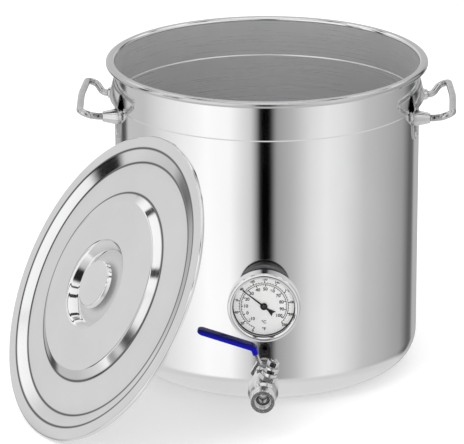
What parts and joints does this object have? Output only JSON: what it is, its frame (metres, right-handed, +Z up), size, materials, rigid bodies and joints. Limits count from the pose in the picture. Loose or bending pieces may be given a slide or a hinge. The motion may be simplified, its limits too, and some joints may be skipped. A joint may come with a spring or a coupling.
{
  "type": "brew kettle",
  "caption": "Tall round stainless brew kettle with riveted rod handles, dial thermometer, ball valve tap and a pressed lid leaning on its side.",
  "frame": {"origin": "middle of the base underside, on the pot's axis", "axes": "+Z up along the pot's axis, -Y out of the front through the thermometer and valve, handles on +X and -X"},
  "size_m": [0.5237, 0.5637, 0.374],
  "materials": {
    "polished_wall": "polished",
    "base_steel": "satin",
    "core_aluminium": "plain",
    "bright_steel": "polished",
    "rod_steel": "polished",
    "rivet_steel": "satin",
    "cast_steel": "cast and machined",
    "stem_steel": "machined",
    "ball_steel": "mirror",
    "ptfe": "smooth",
    "silicone": "matte",
    "black_rubber": "matte",
    "lever_steel": "satin",
    "blue_vinyl": "soft gloss",
    "gauge_steel": "satin",
    "bezel_steel": "polished",
    "bimetal": "plain",
    "white_dial": "matte white",
    "black_paint": "matte black",
    "lens_glass": "clear",
    "lid_steel": "polished",
    "knob_steel": "polished"
  },
  "bodies": {
    "kettle": {"kettle_shell": "polished_wall", "base_cap": "base_steel", "base_core_disc": "core_aluminium", "handle_bracket_left": "bright_steel", "handle_rod_left": "rod_steel", "handle_rivets_left": "rivet_steel", "handle_bracket_right": "bright_steel", "handle_rod_right": "rod_steel", "handle_rivets_right": "rivet_steel", "bulkhead_nipple": "cast_steel", "bulkhead_locknut": "cast_steel", "valve_end_cap": "cast_steel", "valve_body": "cast_steel", "gland_nut": "stem_steel", "valve_seat_rear": "ptfe", "valve_seat_front": "ptfe", "stem_packing": "ptfe", "bulkhead_gasket_outer": "silicone", "bulkhead_gasket_inner": "silicone", "thermometer_gasket": "silicone", "lens_gasket": "black_rubber", "thermometer_hub": "gauge_steel", "thermometer_locknut": "gauge_steel", "probe_tube": "gauge_steel", "thermometer_case": "gauge_steel", "thermometer_bezel": "bezel_steel", "bimetal_coil": "bimetal", "pointer_spindle": "gauge_steel", "dial_plate": "white_dial", "thermometer_lens": "lens_glass"},
    "valve_lever": {"lever_handle": "lever_steel", "lever_sleeve": "blue_vinyl", "stem_nut": "stem_steel", "stem_lock_washer": "stem_steel", "valve_stem": "stem_steel", "valve_ball": "ball_steel", "stem_thrust_washer": "stem_steel"},
    "pointer": {"pointer": "black_paint"},
    "lid": {"lid_shell": "lid_steel", "lid_knob_cap": "knob_steel", "lid_knob_post": "knob_steel", "lid_knob_washer": "rivet_steel", "lid_knob_screw": "rivet_steel"}
  },
  "joints": [
    {"name": "valve_turn", "type": "hinge", "parent": "kettle", "child": "valve_lever", "pos_m": [0, -0.248, 0.05], "axis": [0.309, 0, 0.9511], "range_deg": [0, 90]},
    {"name": "temperature", "type": "hinge", "parent": "kettle", "child": "pointer", "pos_m": [0, -0.2025, 0.136], "axis": [0, -1, 0], "range_deg": [-185.7, 105.3]},
    {"name": "lid_lift", "type": "slide", "parent": "kettle", "child": "lid", "axis": [-0.7646, -0.43, 0.4801], "range_m": [0, 0.45]}
  ]
}
